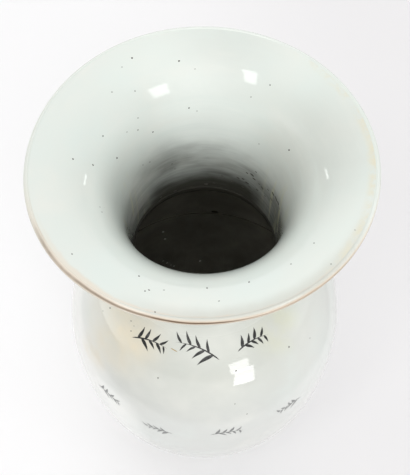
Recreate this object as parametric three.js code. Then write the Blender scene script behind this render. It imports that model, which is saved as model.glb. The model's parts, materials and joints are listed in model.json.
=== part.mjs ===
// A baluster vase in glazed porcelain: a full, high-shouldered body drawn in to a cut foot ring, a short
// upright neck and a wide trumpet mouth with an iron-brown lip. It is potted in four thrown sections, trimmed
// while leather-hard. Where two sections meet, the lower one carries a raised tongue and the upper one a
// matching rebate, and a film of slip lutes the two together and stands out inside as a small bead.
// Millimetres, +Z up, origin on the axis at the foot's resting face.
import * as THREE from "three";

// Sides of every turned piece.
const FACETS = 44;

// The foot, from the floor up: a ring round a sunk base, and the wall that rises from it.
const FOOT_RADIUS = 72;
const FOOT_RING_WIDTH = 8;
const FOOT_EDGE_CHAMFER = 1.5;
const FOOT_RECESS_DEPTH = 10;
const FOOT_RECESS_FILLET = 4;
const BASE_THICKNESS = 9;
const FLOOR_FILLET = 14;
const FOOT_WALL_RISE = 7;
const WAIST_RADIUS = 65;

// The body.
const LOWER_BODY_HEIGHT = 168;
const BELLY_RADIUS = 117.5;
const UPPER_BODY_HEIGHT = 137.5;

// The neck and mouth.
const NECK_RADIUS = 61.5;
const NECK_HEIGHT = 34.5;
const THROAT_RADIUS = 61;
const MOUTH_HEIGHT = 90;
const MOUTH_RADIUS = 110;
const LIP_ANGLE = THREE.MathUtils.degToRad(16);

// Fullness of the outline: how far each curve runs straight on from its ends.
const FOOT_RUN = 14;
const WAIST_RUN = 40;
const BELLY_RUN_BELOW = 120;
const BELLY_RUN_ABOVE = 128;
const NECK_ROOT_RUN = 13;
const THROAT_RUN = 65;
const LIP_RUN = 27;

// Wall thickness, square to the outline.
const FOOT_WALL = 10;
const BELLY_WALL = 6.5;
const NECK_WALL = 6.5;
const LIP_WALL = 4.4;

// The luted joints.
const TONGUE_HEIGHT = 3;
const SLIP_THICKNESS = 0.8;
const BEAD_RADIUS = 1.3;
const BEAD_CLEARANCE = 0.3;

// The iron-brown dressing on the round of the lip.
const DRESSING_THICKNESS = 0.6;

// Steps along each curve of the outline and round each arc.
const FOOT_STEPS = 5;
const LOWER_STEPS = 8;
const UPPER_STEPS = 11;
const NECK_STEPS = 3;
const MOUTH_STEPS = 12;
const LIP_STEPS = 6;
const FILLET_STEPS = 3;

const BASE_Z = FOOT_RECESS_DEPTH + BASE_THICKNESS;
const WAIST_Z = BASE_Z + FLOOR_FILLET + FOOT_WALL_RISE;
const BELLY_Z = WAIST_Z + LOWER_BODY_HEIGHT;
const NECK_Z = BELLY_Z + UPPER_BODY_HEIGHT;
const THROAT_Z = NECK_Z + NECK_HEIGHT;
const LIP_Z = THROAT_Z + MOUTH_HEIGHT;

const UP = Math.PI / 2;
const point = (radius, z) => new THREE.Vector2(radius, z);

// Points of an arc, both ends included, from one angle to another as seen with the radius to the right.
function arc(centre, radiusAt, from, to, steps) {
  return Array.from({ length: steps + 1 }, (_, i) => {
    const angle = THREE.MathUtils.lerp(from, to, i / steps);
    const radius = radiusAt(i / steps);
    return point(centre.x + radius * Math.cos(angle), centre.y + radius * Math.sin(angle));
  });
}

// Points along one side of a stretch of wall, without its two ends.
function between(side, steps) {
  return Array.from({ length: steps - 1 }, (_, i) => side((i + 1) / steps));
}

// A stretch of wall: its outside follows the curve upwards, and its inside lies a wall's thickness behind.
function stretch(curve, lowWall, highWall) {
  const inside = (t) => {
    const along = curve.getTangent(t);
    const wall = THREE.MathUtils.lerp(lowWall, highWall, THREE.MathUtils.smoothstep(t, 0, 1));
    return curve.getPoint(t).add(point(-along.y * wall, along.x * wall));
  };
  return { outside: (t) => curve.getPoint(t), inside };
}

// The curve between two radii where the wall stands upright at both ends.
function uprightCurve(low, lowRun, high, highRun) {
  return new THREE.CubicBezierCurve(low, point(low.x, low.y + lowRun), point(high.x, high.y - highRun), high);
}

// The centre of the lip's round, set so that the dressed lip reaches MOUTH_RADIUS and LIP_Z.
const LIP_ROUND = LIP_WALL / 2;
const LIP_INSET = LIP_ROUND + DRESSING_THICKNESS;
const lipCentre = point(MOUTH_RADIUS - LIP_INSET, LIP_Z - LIP_INSET);
const LIP_UNDERSIDE = LIP_ANGLE - UP;
const LIP_TOPSIDE = LIP_ANGLE + UP;
const flareEnd = arc(lipCentre, () => LIP_ROUND, LIP_UNDERSIDE, LIP_TOPSIDE, 1)[0];
const flareHandle = point(Math.cos(LIP_ANGLE), Math.sin(LIP_ANGLE)).multiplyScalar(-LIP_RUN).add(flareEnd);

const footEdge = point(FOOT_RADIUS, FOOT_EDGE_CHAMFER);
const waist = point(WAIST_RADIUS, WAIST_Z);
const belly = point(BELLY_RADIUS, BELLY_Z);
const neckRoot = point(NECK_RADIUS, NECK_Z);
const throat = point(THROAT_RADIUS, THROAT_Z);
const throatHandle = point(THROAT_RADIUS, THROAT_Z + THROAT_RUN);

const footCurve = uprightCurve(footEdge, FOOT_RUN, waist, FOOT_RUN);
const lowerCurve = uprightCurve(waist, WAIST_RUN, belly, BELLY_RUN_BELOW);
const upperCurve = uprightCurve(belly, BELLY_RUN_ABOVE, neckRoot, NECK_ROOT_RUN);
const neckCurve = uprightCurve(neckRoot, NECK_HEIGHT / 3, throat, NECK_HEIGHT / 3);
const mouthCurve = new THREE.CubicBezierCurve(throat, throatHandle, flareHandle, flareEnd);

const footWall = stretch(footCurve, FOOT_WALL, FOOT_WALL);
const lowerWall = stretch(lowerCurve, FOOT_WALL, BELLY_WALL);
const upperWall = stretch(upperCurve, BELLY_WALL, NECK_WALL);
const neckWall = stretch(neckCurve, NECK_WALL, NECK_WALL);
const mouthWall = stretch(mouthCurve, NECK_WALL, LIP_WALL);

// A luted joint where the wall stands upright with its outside at rim. The seat is the lower section's top
// face and the roof is the upper section's bottom face, both from outside to inside, and slip fills between.
function lutedJoint(rim, wall) {
  const inner = rim.x - wall;
  const tongue = rim.x - wall / 2;
  const face = (z, step) => [
    point(rim.x, z),
    point(step, z),
    point(step, z + TONGUE_HEIGHT),
    point(inner, z + TONGUE_HEIGHT),
  ];
  const seat = face(rim.y, tongue);
  const roof = face(rim.y + SLIP_THICKNESS, tongue + SLIP_THICKNESS);
  const beadCentre = point(inner - BEAD_CLEARANCE, rim.y + TONGUE_HEIGHT + SLIP_THICKNESS / 2);
  const bead = [
    point(beadCentre.x, beadCentre.y + SLIP_THICKNESS / 2),
    ...arc(beadCentre, () => BEAD_RADIUS, UP, 3 * UP, FILLET_STEPS),
    point(beadCentre.x, beadCentre.y - SLIP_THICKNESS / 2),
  ];
  return { seat, roof, slip: [...roof, ...bead, ...seat.toReversed()] };
}

const footJoint = lutedJoint(waist, FOOT_WALL);
const bellyJoint = lutedJoint(belly, BELLY_WALL);
const neckJoint = lutedJoint(neckRoot, NECK_WALL);

// Each profile runs round its section with the wall on its left: outside upwards, rim, inside downwards.
function footSection() {
  const recessRadius = FOOT_RADIUS - FOOT_RING_WIDTH;
  const recessCorner = point(recessRadius - FOOT_RECESS_FILLET, FOOT_RECESS_DEPTH - FOOT_RECESS_FILLET);
  const floorCorner = point(WAIST_RADIUS - FOOT_WALL - FLOOR_FILLET, BASE_Z + FLOOR_FILLET);
  return [
    point(0, FOOT_RECESS_DEPTH),
    ...arc(recessCorner, () => FOOT_RECESS_FILLET, UP, 0, FILLET_STEPS),
    point(recessRadius, FOOT_EDGE_CHAMFER),
    point(recessRadius + FOOT_EDGE_CHAMFER, 0),
    point(FOOT_RADIUS - FOOT_EDGE_CHAMFER, 0),
    footEdge,
    ...between(footWall.outside, FOOT_STEPS),
    ...footJoint.seat,
    ...arc(floorCorner, () => FLOOR_FILLET, 0, -UP, 2 * FILLET_STEPS),
    point(0, BASE_Z),
  ];
}

function bodySection(jointBelow, wall, steps, jointAbove) {
  return [
    ...jointBelow.roof.toReversed(),
    ...between(wall.outside, steps),
    ...jointAbove.seat,
    ...between(wall.inside, steps).toReversed(),
  ];
}

function neckAndMouth() {
  return [
    ...neckJoint.roof.toReversed(),
    ...between(neckWall.outside, NECK_STEPS),
    throat,
    ...between(mouthWall.outside, MOUTH_STEPS),
    ...arc(lipCentre, () => LIP_ROUND, LIP_UNDERSIDE, LIP_TOPSIDE, LIP_STEPS),
    ...between(mouthWall.inside, MOUTH_STEPS).toReversed(),
    neckWall.inside(1),
    ...between(neckWall.inside, NECK_STEPS).toReversed(),
  ];
}

// The dressing wraps the round of the lip and thins out to nothing at both edges.
function lipDressing() {
  const crest = (t) => LIP_ROUND + DRESSING_THICKNESS * Math.min(1, 2 * Math.sin(Math.PI * t));
  const outer = arc(lipCentre, crest, LIP_UNDERSIDE, LIP_TOPSIDE, LIP_STEPS);
  const inner = arc(lipCentre, () => LIP_ROUND, LIP_UNDERSIDE, LIP_TOPSIDE, LIP_STEPS);
  return [...outer, ...inner.slice(1, -1).toReversed()];
}

function turned(name, profile, material) {
  const startsOnAxis = profile[0].x === 0;
  const closed = startsOnAxis ? profile : [...profile, profile[0]];
  const mesh = new THREE.Mesh(new THREE.LatheGeometry(closed, FACETS), material);
  mesh.name = name;
  mesh.rotation.x = UP;
  return mesh;
}

const porcelain = new THREE.MeshStandardMaterial({ color: 0xe2e8e1, roughness: 0.16, metalness: 0 });
const slip = new THREE.MeshStandardMaterial({ color: 0xcfc9b8, roughness: 0.7, metalness: 0 });
const ironBrown = new THREE.MeshStandardMaterial({ color: 0xa06a45, roughness: 0.35, metalness: 0 });

const vase = new THREE.Group();
vase.add(
  turned("foot_section", footSection(), porcelain),
  turned("foot_lute", footJoint.slip, slip),
  turned("lower_body", bodySection(footJoint, lowerWall, LOWER_STEPS, bellyJoint), porcelain),
  turned("belly_lute", bellyJoint.slip, slip),
  turned("upper_body", bodySection(bellyJoint, upperWall, UPPER_STEPS, neckJoint), porcelain),
  turned("neck_lute", neckJoint.slip, slip),
  turned("neck_and_mouth", neckAndMouth(), porcelain),
  turned("lip_dressing", lipDressing(), ironBrown),
);

export default vase;
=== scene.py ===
"""A porcelain baluster vase, turned in four luted sections, with an iron-washed lip and ink sprigs."""

import json
import math
import random
from typing import Callable, NamedTuple

import bmesh
import bpy
from bpy.props import FloatProperty, FloatVectorProperty, IntProperty, PointerProperty
from mathutils import Matrix, Quaternion, Vector

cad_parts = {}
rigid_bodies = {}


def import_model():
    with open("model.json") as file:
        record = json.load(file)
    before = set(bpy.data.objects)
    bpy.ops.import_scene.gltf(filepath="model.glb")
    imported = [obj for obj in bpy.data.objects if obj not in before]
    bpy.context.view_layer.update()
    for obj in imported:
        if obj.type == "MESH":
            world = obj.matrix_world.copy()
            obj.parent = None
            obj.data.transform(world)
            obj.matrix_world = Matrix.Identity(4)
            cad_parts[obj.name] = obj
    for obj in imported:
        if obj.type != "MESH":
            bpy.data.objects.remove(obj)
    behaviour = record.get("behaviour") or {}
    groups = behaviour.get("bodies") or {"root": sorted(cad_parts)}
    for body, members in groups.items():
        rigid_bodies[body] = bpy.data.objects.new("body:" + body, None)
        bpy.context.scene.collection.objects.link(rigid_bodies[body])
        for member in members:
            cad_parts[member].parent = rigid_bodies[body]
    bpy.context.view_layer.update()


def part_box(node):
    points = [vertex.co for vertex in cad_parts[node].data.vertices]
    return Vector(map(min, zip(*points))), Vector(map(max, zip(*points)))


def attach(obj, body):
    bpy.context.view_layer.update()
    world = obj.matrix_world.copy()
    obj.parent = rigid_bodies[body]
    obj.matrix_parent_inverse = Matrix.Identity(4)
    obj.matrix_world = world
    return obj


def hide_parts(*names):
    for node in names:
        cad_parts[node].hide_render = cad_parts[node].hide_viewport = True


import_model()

bl_info = {
    "name": "Baluster Vase",
    "version": (1, 0, 0),
    "blender": (4, 5, 0),
    "location": "3D View > Sidebar > Vase",
    "description": "Turns, joins, glazes and decorates a porcelain baluster vase",
    "category": "Add Mesh",
}

QUARTER = math.pi / 2
FULL_TURN = 2 * math.pi
WELD = 2e-6
SMOOTH_UNDER = math.radians(40)


# Properties


def length(name, description, default):
    return FloatProperty(
        name=name, description=description, default=default, min=0, precision=5,
        subtype="DISTANCE", unit="LENGTH",
    )


def angle(name, description, degrees):
    return FloatProperty(
        name=name, description=description, default=math.radians(degrees), subtype="ANGLE", unit="ROTATION"
    )


def colour(name, description, default):
    return FloatVectorProperty(
        name=name, description=description, default=default, size=3, min=0, max=1, subtype="COLOR"
    )


def count(name, description, default):
    return IntProperty(name=name, description=description, default=default, min=1)


def share(name, description, default):
    return FloatProperty(name=name, description=description, default=default, min=0, subtype="FACTOR")


class VaseSizes(bpy.types.PropertyGroup):
    """Sizes of the section that the frame's boxes don't give"""

    foot_ring_width: length("Foot ring", "Width of the cut foot ring", 0.008)
    foot_edge: length("Foot edge", "Rounding of the foot ring's edges", 0.0015)
    recess_depth: length("Recess depth", "Depth of the sunk base under the foot", 0.010)
    recess_fillet: length("Recess fillet", "Rounding where the foot ring meets the base", 0.004)
    base_thickness: length("Base thickness", "Thickness of the base", 0.009)
    floor_fillet: length("Floor fillet", "Rounding where the inside floor meets the wall", 0.014)
    throat_radius: length("Throat radius", "Outside radius where the mouth starts", 0.061)
    neck_height: length("Neck height", "Height of the upright neck", 0.0345)
    lip_angle: angle("Lip angle", "Rise of the flare at the lip", 16)
    foot_run: length("Foot run", "How far the foot's curve runs straight on", 0.014)
    waist_run: length("Waist run", "How far the curve above the waist runs straight on", 0.040)
    belly_run_below: length("Belly run below", "How far the curve below the belly runs straight on", 0.120)
    belly_run_above: length("Belly run above", "How far the curve above the belly runs straight on", 0.128)
    neck_root_run: length("Neck root run", "How far the shoulder's curve runs straight up to the neck", 0.013)
    throat_run: length("Throat run", "How far the mouth's curve runs straight up from the throat", 0.065)
    lip_run: length("Lip run", "How far the mouth's curve runs straight on to the lip", 0.027)
    foot_wall: length("Foot wall", "Thickness of the wall at the foot", 0.010)
    belly_wall: length("Belly wall", "Thickness of the wall at the belly", 0.0065)
    neck_wall: length("Neck wall", "Thickness of the wall at the neck", 0.0065)
    lip_wall: length("Lip wall", "Thickness of the wall at the lip", 0.0044)
    wash_thickness: length("Wash thickness", "Thickness of the iron wash on the lip", 0.0006)
    tongue_height: length("Tongue height", "Height of a luted joint's tongue", 0.003)
    slip_thickness: length("Slip thickness", "Thickness of the slip in a luted joint", 0.0008)
    glaze_skin: length("Glaze skin", "Glaze that closes a luted joint outside", 0.0008)
    bead_radius: length("Bead radius", "Radius of the bead inside the foot's and the neck's joint", 0.0013)
    wiped_bead_radius: length("Wiped bead radius", "Radius of the belly joint's bead, wiped flat", 0.0004)
    bead_clearance: length("Bead clearance", "How far the bead's centre stands off the wall", 0.0003)
    ring_depth: length("Ring depth", "Depth of the turning rings inside the neck", 0.00002)
    ring_pitch: length("Ring pitch", "Spacing of the turning rings inside the neck", 0.0057)
    sag: length("Sag of the rim", "How far the rim sagged in the kiln, in front on the left", 0.0034)
    sag_behind: length("Sag behind", "How far the rim sagged at the back on the left", 0.0014)
    sides: count("Sides", "Faces round every turned piece", 256)


class VaseColours(bpy.types.PropertyGroup):
    """Colours of the glaze, the bare clay, the washes and the ink"""

    glaze: colour("Glaze", "Pale celadon-white glaze of the mouth", (0.733, 0.775, 0.728))
    glaze_cool: colour("Thick glaze", "Glaze where it pools thick", (0.710, 0.785, 0.745))
    glaze_warm: colour("Thin glaze", "Glaze where it lies thin", (0.800, 0.795, 0.735))
    # Painted light: the whiter patch at the mouth's back stands in for a soft reflection.
    painted_light_pool: colour("Pooled glaze", "Whiter glaze that pooled above the throat", (0.860, 0.905, 0.860))
    # Painted shade: the shoulder's glaze greyer under the mouth's overhang.
    shaded_shoulder_glaze: colour("Shoulder glaze", "Greyer, soiled glaze of the shoulder", (0.607, 0.622, 0.575))
    glaze_belly: colour("Belly glaze", "Glaze of the belly", (0.645, 0.660, 0.632))
    # Painted light: the glaze whiter at the sides and low on the left.
    lit_side_glaze: colour("Side glaze", "Whiter glaze at the sides", (0.910, 0.915, 0.880))
    # Painted shade: a grey film that darkens the mouth's back and sides.
    painted_shade: colour("Veil", "Greyish film on the mouth's back and sides", (0.560, 0.585, 0.545))
    kiln_blush: colour("Kiln blush", "Orange-beige cloud on the shoulder", (0.810, 0.700, 0.500))
    lichen: colour("Yellow-green stain", "Yellow-green streaks in the glaze", (0.700, 0.690, 0.440))
    clay: colour("Bare clay", "Unglazed clay of the foot ring", (0.620, 0.520, 0.400))
    clay_burn: colour("Burnt clay", "Flashed clay at the foot's edge", (0.470, 0.260, 0.130))
    inside: colour("Inside clay", "Dark, soiled clay inside the body", (0.340, 0.325, 0.270))
    # Painted shade with some grime: the dark of the shaded neck and inside.
    shade_and_grime: colour("Grime", "Soil in the neck", (0.034, 0.031, 0.021))
    rust: colour("Rust", "A yellow-brown fleck in the glaze", (0.420, 0.310, 0.150))
    wash: colour("Iron wash", "Brown crest of the lip", (0.140, 0.086, 0.048))
    wash_thin: colour("Thin wash", "Peach flanks of the lip", (0.780, 0.640, 0.500))
    wash_deep: colour("Deeper wash", "Peach flanks of the lip in front", (0.620, 0.470, 0.340))
    # Greys the lip's top and the glaze just inside it, in front.
    lip_grey: colour("Lip soil", "Soil inside the lip in front", (0.560, 0.550, 0.490))
    wear: colour("Wear", "Beige wear on the lip", (0.710, 0.680, 0.540))
    speck: colour("Iron speck", "Iron specks in the glaze", (0.045, 0.040, 0.028))
    grit: colour("Grit", "Pale grit inside the body", (0.850, 0.840, 0.800))
    ink: colour("Ink", "Black of the brushed sprigs", (0.012, 0.012, 0.011))
    thin_ink: colour("Thin ink", "Grey of the sprigs brushed with little ink", (0.170, 0.175, 0.170))
    floor: colour("Floor", "Plain pale floor", (0.938, 0.933, 0.940))
    floor_shade: colour("Shaded floor", "The floor to the right of the vase", (0.812, 0.800, 0.808))
    floor_far: colour("Far floor", "The floor away from the vase", (0.520, 0.520, 0.525))


class VaseStudio(bpy.types.PropertyGroup):
    """The camera and the light"""

    camera_back: length("Camera back", "Distance from the axis to the camera", 0.27507)
    camera_height: length("Camera height", "Height of the camera over the floor", 0.87369)
    camera_pitch: angle("Camera pitch", "Tilt of the camera up from straight down", 28.42)
    focal_pixels: FloatProperty(
        name="Focal length", description="Focal length in pixels of the picture", default=780, min=1
    )
    soft_light: share("Soft light", "Strength of the broad soft lights all round", 1.035)
    softbox: share("Softboxes", "Radiance of the softboxes", 5.0)


# The section, as points (radius, height)


class Wall(NamedTuple):
    """The two sides of a stretch of wall, each a point at a share of the way up"""

    outside: Callable
    inside: Callable


class Joint(NamedTuple):
    """A luted joint: the lower section's seat and the upper one's roof, outside first, and the slip"""

    seat: list
    roof: list
    slip: list


def ring_corner(node):
    """Outer radius and lowest height of a CAD ring."""
    low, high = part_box(node)
    return Vector((high.x, low.z))


def arc(centre, radius, start, end, steps):
    """Points of an arc, both ends included."""
    turns = [start + (end - start) * i / steps for i in range(steps + 1)]
    return [centre + Vector((math.cos(turn), math.sin(turn))) * radius for turn in turns]


def stretch(low, low_handle, high_handle, high, low_wall, high_wall):
    """A stretch of wall: the outside follows the curve, and the inside lies a wall's thickness behind it."""

    def outside(t):
        s = 1 - t
        return low * s**3 + low_handle * 3 * s * s * t + high_handle * 3 * s * t * t + high * t**3

    def inside(t):
        s = 1 - t
        along = (low_handle - low) * s * s
        along += (high_handle - low_handle) * 2 * s * t
        along += (high - high_handle) * t * t
        along.normalize()
        wall = low_wall + (high_wall - low_wall) * t * t * (3 - 2 * t)
        return outside(t) + Vector((-along.y, along.x)) * wall

    return Wall(outside, inside)


def upright(low, low_run, high, high_run, low_wall, high_wall):
    """A stretch of wall that stands upright at both ends."""
    return stretch(low, low + Vector((0, low_run)), high - Vector((0, high_run)), high, low_wall, high_wall)


def between(side, steps):
    """Points along one side of a stretch, without its ends, and closest together near them."""
    return [side((1 - math.cos(math.pi * i / steps)) / 2) for i in range(1, steps)]


class Section:
    """The vase's section, worked out from the frame and the sizes"""

    FOOT_STEPS = 16
    LOWER_STEPS = 44
    UPPER_STEPS = 56
    NECK_STEPS = 40
    MOUTH_STEPS = 90
    LIP_STEPS = 28
    FILLET_STEPS = 10
    BEAD_STEPS = 12
    RING_OVERTONE = 1.7
    RING_OVERTONE_SHARE = 0.6
    HALVINGS = 30
    SLOPE_STEP = 1e-4

    def __init__(self, sizes):
        self.sizes = s = sizes
        self.foot_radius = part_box("foot_section")[1].x
        self.waist = ring_corner("foot_lute")
        self.belly = ring_corner("belly_lute")
        self.neck_root = ring_corner("neck_lute")
        self.throat = Vector((s.throat_radius, self.neck_root.y + s.neck_height))
        dressed_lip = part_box("lip_dressing")[1]
        self.lip_round = s.lip_wall / 2
        inset = self.lip_round + s.wash_thickness
        self.lip = Vector((dressed_lip.x - inset, dressed_lip.z - inset))
        self.underside = s.lip_angle - QUARTER
        self.topside = s.lip_angle + QUARTER

        flare_end = arc(self.lip, self.lip_round, self.underside, self.topside, 1)[0]
        flare = Vector((math.cos(s.lip_angle), math.sin(s.lip_angle))) * s.lip_run
        throat_handle = self.throat + Vector((0, s.throat_run))
        foot_corner = Vector((self.foot_radius, s.foot_edge))
        third = s.neck_height / 3
        self.foot_side = upright(foot_corner, s.foot_run, self.waist, s.foot_run, s.foot_wall, s.foot_wall)
        self.lower_side = upright(
            self.waist, s.waist_run, self.belly, s.belly_run_below, s.foot_wall, s.belly_wall
        )
        self.upper_side = upright(
            self.belly, s.belly_run_above, self.neck_root, s.neck_root_run, s.belly_wall, s.neck_wall
        )
        self.neck_side = upright(self.neck_root, third, self.throat, third, s.neck_wall, s.neck_wall)
        self.mouth_side = stretch(
            self.throat, throat_handle, flare_end - flare, flare_end, s.neck_wall, s.lip_wall
        )

    def joint(self, rim, wall, bead_radius):
        """The luted joint whose seat starts at the rim of the section below it."""
        s = self.sizes
        inner = rim.x - wall
        tongue = rim.x - wall / 2
        skin = rim.x - s.glaze_skin
        top = rim.y + s.tongue_height
        gap = s.slip_thickness
        seat = [rim, Vector((tongue, rim.y)), Vector((tongue, top)), Vector((inner, top))]
        roof = [
            Vector((skin, rim.y + gap)),
            Vector((tongue + gap, rim.y + gap)),
            Vector((tongue + gap, top + gap)),
            Vector((inner, top + gap)),
        ]
        skin_corner = Vector((skin, rim.y))
        bead_centre = Vector((inner - s.bead_clearance, top + gap / 2))
        bead = arc(bead_centre, bead_radius, QUARTER, 3 * QUARTER, self.BEAD_STEPS)
        slip = [*roof, *bead, *reversed(seat[1:]), skin_corner, roof[0]]
        return Joint(seat, [rim, skin_corner, *roof], slip)

    def joints(self):
        """The foot's, the belly's and the neck's joints."""
        s = self.sizes
        return (
            self.joint(self.waist, s.foot_wall, s.bead_radius),
            self.joint(self.belly, s.belly_wall, s.wiped_bead_radius),
            self.joint(self.neck_root, s.neck_wall, s.bead_radius),
        )

    def foot(self):
        """The foot ring, the sunk base and the wall up to the waist."""
        s = self.sizes
        base_top = s.recess_depth + s.base_thickness
        recess = self.foot_radius - s.foot_ring_width
        recess_corner = Vector((recess - s.recess_fillet, s.recess_depth - s.recess_fillet))
        inner_edge = Vector((recess + s.foot_edge, s.foot_edge))
        outer_edge = Vector((self.foot_radius - s.foot_edge, s.foot_edge))
        floor_corner = Vector((self.waist.x - s.foot_wall - s.floor_fillet, base_top + s.floor_fillet))
        return [
            Vector((0, s.recess_depth)),
            *arc(recess_corner, s.recess_fillet, QUARTER, 0, self.FILLET_STEPS),
            *arc(inner_edge, s.foot_edge, 2 * QUARTER, 3 * QUARTER, self.FILLET_STEPS),
            *arc(outer_edge, s.foot_edge, 3 * QUARTER, 4 * QUARTER, self.FILLET_STEPS),
            *between(self.foot_side.outside, self.FOOT_STEPS),
            *self.joints()[0].seat,
            *arc(floor_corner, s.floor_fillet, 0, -QUARTER, self.FILLET_STEPS),
            Vector((0, base_top)),
        ]

    def body(self, below, wall, steps, above):
        """A section of the body between the joint below it and the joint above it."""
        return [
            *reversed(below.roof),
            *between(wall.outside, steps),
            *above.seat,
            *reversed(between(wall.inside, steps)),
            below.roof[-1],
        ]

    def lower_body(self):
        foot, belly, _ = self.joints()
        return self.body(foot, self.lower_side, self.LOWER_STEPS, belly)

    def upper_body(self):
        _, belly, neck = self.joints()
        return self.body(belly, self.upper_side, self.UPPER_STEPS, neck)

    def ringed(self, place):
        """A point of the neck's inside, with the turning rings that fade out above the throat."""
        s = self.sizes
        height = place.y - self.neck_root.y
        fade = max(0, 1 - height / (s.neck_height + s.throat_run))
        turn = FULL_TURN * height / s.ring_pitch
        ripple = math.sin(turn) + self.RING_OVERTONE_SHARE * math.sin(self.RING_OVERTONE * turn)
        return place + Vector((s.ring_depth * fade * ripple, 0))

    def mouth(self):
        """The upright neck and the trumpet mouth, up to the lip's round."""
        roof = self.joints()[2].roof
        mouth_inside = [self.ringed(p) for p in between(self.mouth_side.inside, self.MOUTH_STEPS)]
        neck_inside = [self.ringed(p) for p in between(self.neck_side.inside, self.NECK_STEPS)]
        return [
            *reversed(roof),
            *between(self.neck_side.outside, self.NECK_STEPS),
            self.throat,
            *between(self.mouth_side.outside, self.MOUTH_STEPS),
            *arc(self.lip, self.lip_round, self.underside, self.topside, self.LIP_STEPS),
            *reversed(mouth_inside),
            self.ringed(self.neck_side.inside(1)),
            *reversed(neck_inside),
            roof[-1],
        ]

    def lip_wash(self):
        """The wash wraps the lip's round and thins out to nothing at both edges."""
        inner = arc(self.lip, self.lip_round, self.underside, self.topside, self.LIP_STEPS)
        outer = []
        for i, place in enumerate(inner):
            rise = min(1, 2 * math.sin(math.pi * i / self.LIP_STEPS))
            thickness = rise * rise * (3 - 2 * rise) * self.sizes.wash_thickness
            outer.append(place + (place - self.lip).normalized() * thickness)
        return [*outer, *reversed(inner[:-1])]

    def shoulder_place(self, azimuth, height):
        """A point of the shoulder's outside, and its frame: sideways, up the slope and outwards."""
        low, high = 0.0, 1.0
        for _ in range(self.HALVINGS):
            middle = (low + high) / 2
            if self.upper_side.outside(middle).y < height:
                low = middle
            else:
                high = middle
        here = self.upper_side.outside(low)
        slope = (self.upper_side.outside(low + self.SLOPE_STEP) - here).normalized()
        ahead = Vector((math.sin(azimuth), -math.cos(azimuth), 0))
        sideways = Vector((math.cos(azimuth), math.sin(azimuth), 0))
        up_slope = ahead * slope.x + Vector((0, 0, slope.y))
        outwards = sideways.cross(up_slope)
        place = ahead * here.x + Vector((0, 0, here.y))
        return Matrix.LocRotScale(place, Matrix((sideways, up_slope, outwards)).transposed(), None)


# Modelling

# Where the rim sagged, by azimuth from the front, and how wide each sag is.
FRONT_SAG = math.radians(-58)
FRONT_SAG_WIDTH = math.radians(46)
BACK_SAG = math.radians(-140)
BACK_SAG_WIDTH = math.radians(50)


def deselect_all():
    bpy.ops.object.select_all(action="DESELECT")


def select_only(piece):
    deselect_all()
    piece.select_set(True)
    bpy.context.view_layer.objects.active = piece


def turned(name, section, sides):
    """A piece turned about the axis from a section that is closed, or has both ends on the axis."""
    deselect_all()
    bpy.ops.mesh.primitive_plane_add(size=WELD)
    piece = bpy.context.object
    piece.name = piece.data.name = name
    bpy.ops.object.mode_set(mode="EDIT")
    bpy.ops.mesh.select_mode(type="VERT")
    bpy.ops.mesh.select_all(action="SELECT")
    bpy.ops.mesh.merge(type="CENTER")
    bpy.ops.transform.translate(value=(section[0].x, 0, section[0].y))
    for here, there in zip(section, section[1:]):
        step = there - here
        bpy.ops.mesh.extrude_vertices_move(TRANSFORM_OT_translate={"value": (step.x, 0, step.y)})
    bpy.ops.mesh.select_all(action="SELECT")
    bpy.ops.mesh.spin(steps=sides, angle=FULL_TURN, center=(0, 0, 0), axis=(0, 0, 1))
    bpy.ops.mesh.select_all(action="SELECT")
    bpy.ops.mesh.remove_doubles(threshold=WELD)
    bpy.ops.mesh.normals_make_consistent(inside=False)
    bpy.ops.object.mode_set(mode="OBJECT")
    bpy.ops.object.shade_smooth_by_angle(angle=SMOOTH_UNDER)
    return piece


def hump(away, width):
    """A smooth hump: one at its middle, and nearly nothing two widths away."""
    return math.exp(-((away / width) ** 2))


def sag_rim(piece):
    """Takes the flare out of round, as it sagged in the kiln: most at the rim, not at all at the throat."""
    s = bpy.context.scene.vase_sizes
    outline = section()
    select_only(piece)
    bpy.ops.object.mode_set(mode="EDIT")
    mesh = bmesh.from_edit_mesh(piece.data)
    for vertex in mesh.verts:
        rise = max(0, (vertex.co.z - outline.throat.y) / (outline.lip.y - outline.throat.y))
        azimuth = math.atan2(vertex.co.x, -vertex.co.y)
        front = s.sag * hump(azimuth - FRONT_SAG, FRONT_SAG_WIDTH)
        behind = s.sag_behind * hump(math.remainder(azimuth - BACK_SAG, FULL_TURN), BACK_SAG_WIDTH)
        outwards = Vector((vertex.co.x, vertex.co.y, 0)).normalized()
        vertex.co += outwards * (front + behind) * min(rise, 1) ** 3
    bmesh.update_edit_mesh(piece.data)
    bpy.ops.object.mode_set(mode="OBJECT")


def finish_faces(piece, finish, chosen):
    """Gives a finish to the faces that chosen(centre, normal) picks."""
    piece.data.materials.append(finish)
    piece.active_material_index = len(piece.data.materials) - 1
    select_only(piece)
    bpy.ops.object.mode_set(mode="EDIT")
    bpy.ops.mesh.select_mode(type="FACE")
    bpy.ops.mesh.select_all(action="DESELECT")
    mesh = bmesh.from_edit_mesh(piece.data)
    for face in mesh.faces:
        face.select = chosen(face.calc_center_median(), face.normal)
    bmesh.update_edit_mesh(piece.data)
    bpy.ops.object.material_slot_assign()
    bpy.ops.object.mode_set(mode="OBJECT")


def faces_axis(centre, normal):
    """Whether a face looks towards the axis."""
    return centre.x * normal.x + centre.y * normal.y < 0


def join_all(pieces, name):
    deselect_all()
    for piece in pieces:
        piece.select_set(True)
    bpy.context.view_layer.objects.active = pieces[0]
    bpy.ops.object.join()
    bpy.ops.object.transform_apply(location=True, rotation=True, scale=True)
    joined = bpy.context.object
    joined.name = joined.data.name = name
    return joined


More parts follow.
